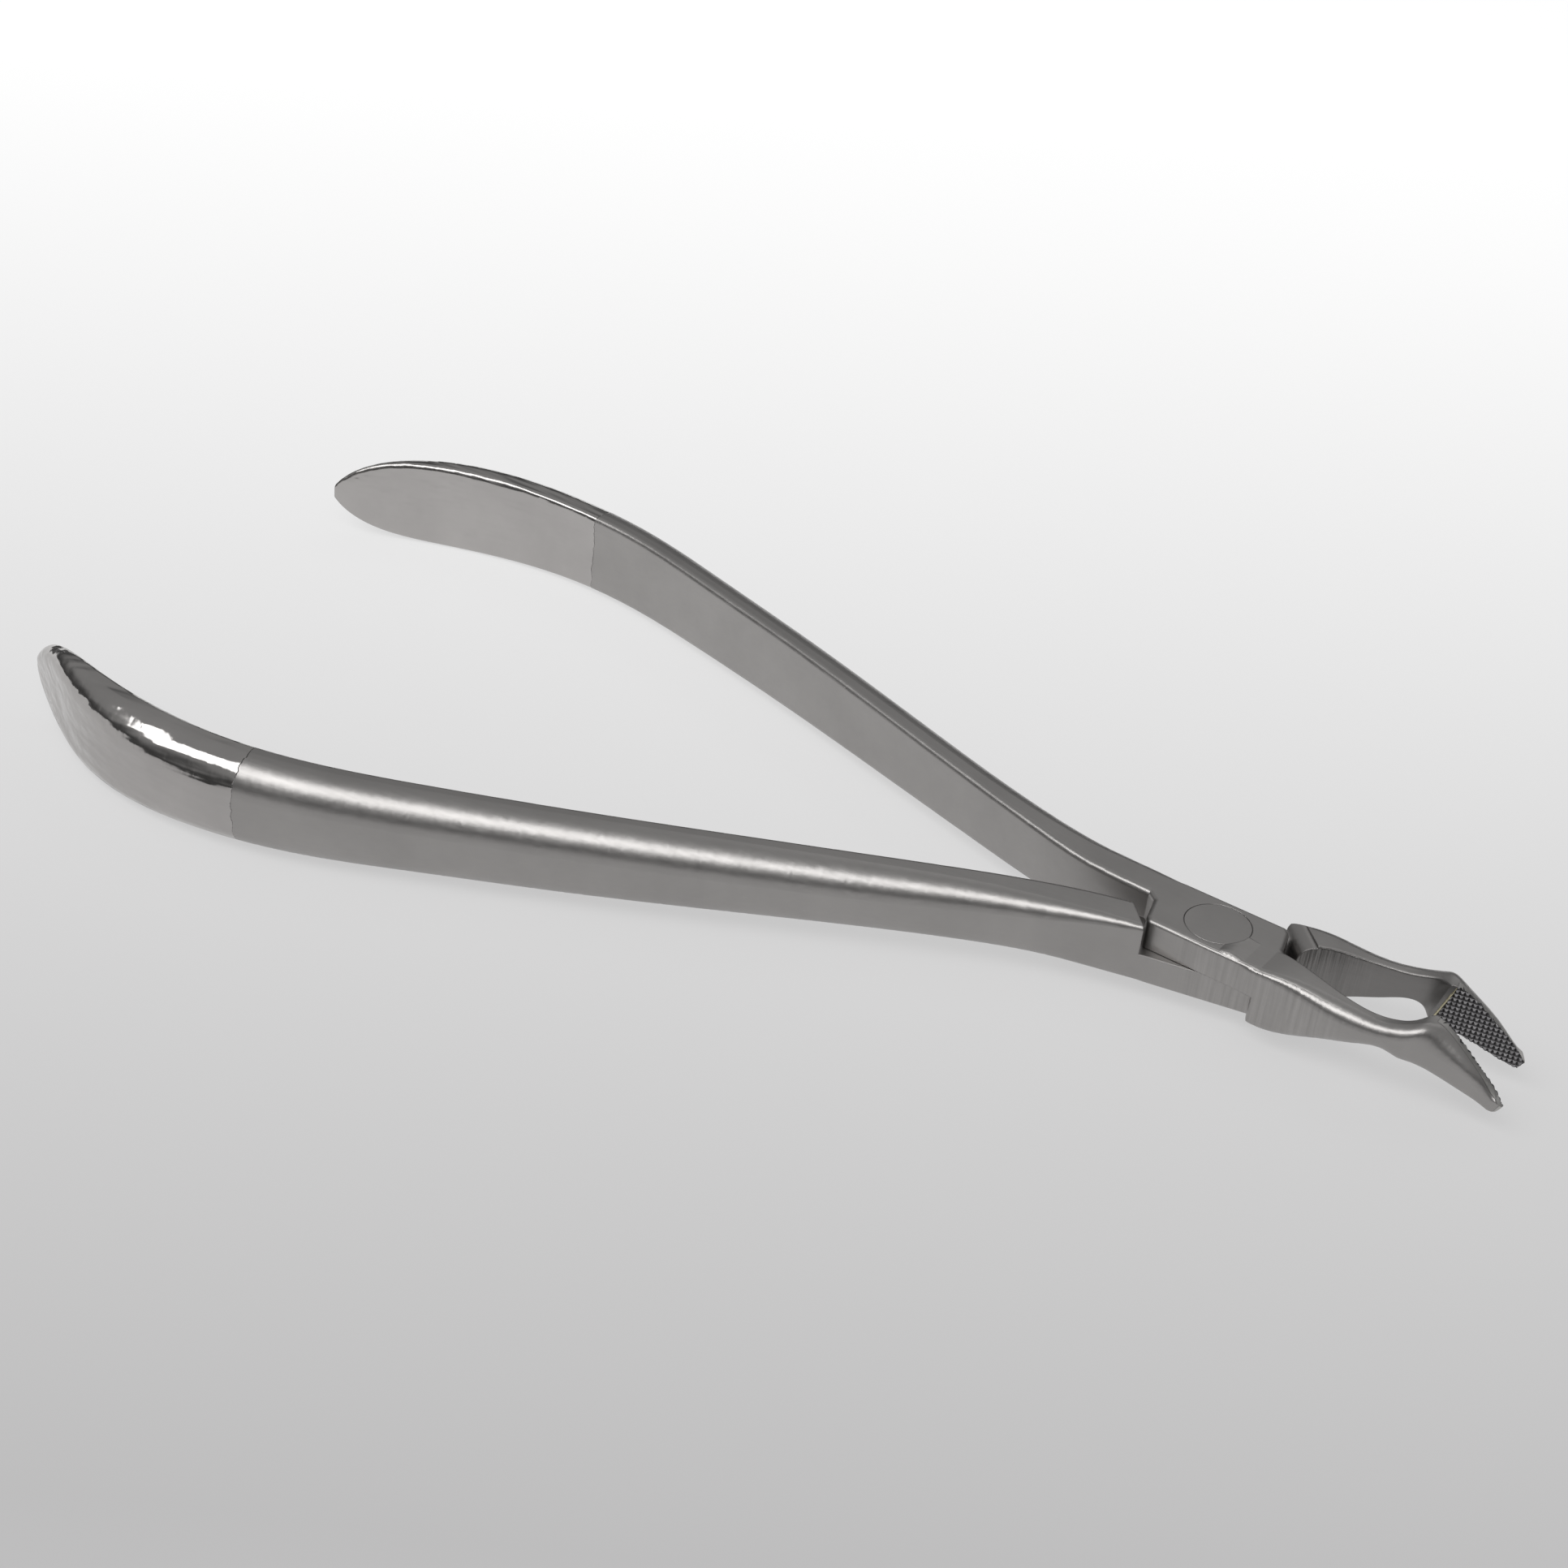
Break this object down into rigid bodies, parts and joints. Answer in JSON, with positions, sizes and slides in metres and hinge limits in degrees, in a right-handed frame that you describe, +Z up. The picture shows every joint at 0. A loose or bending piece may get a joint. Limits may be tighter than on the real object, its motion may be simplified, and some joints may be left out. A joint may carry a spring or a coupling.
{
  "type": "extraction forceps",
  "caption": "Dental extraction forceps with long flat-sided handles, a riveted lap joint and bent beaks carrying serrated carbide gripping plates",
  "frame": {"origin": "centre of the joint's flat underside, on the rivet's axis", "axes": "+X from the handles to the beaks, +Y to the side of the upper half's handle, +Z up along the rivet, away from the way the beaks bend"},
  "size_m": [0.1582, 0.0764, 0.0108],
  "materials": {
    "satin_steel": "fine bead-blasted satin, mirror-polished on the handle ends",
    "rivet_steel": "satin, ground flush with the joint",
    "carbide": "dark gunmetal, fine cross-hatched pyramid serrations"
  },
  "bodies": {
    "fixed_half": {"lower_half": "satin_steel", "joint_rivet": "rivet_steel", "lower_beak_insert": "carbide"},
    "moving_half": {"upper_half": "satin_steel", "upper_beak_insert": "carbide"}
  },
  "joints": [
    {"name": "joint_pivot", "type": "hinge", "parent": "fixed_half", "child": "moving_half", "pos_m": [0, 0, 0.0033], "axis": [0, 0, -1], "range_deg": [-13.2, 27]}
  ]
}
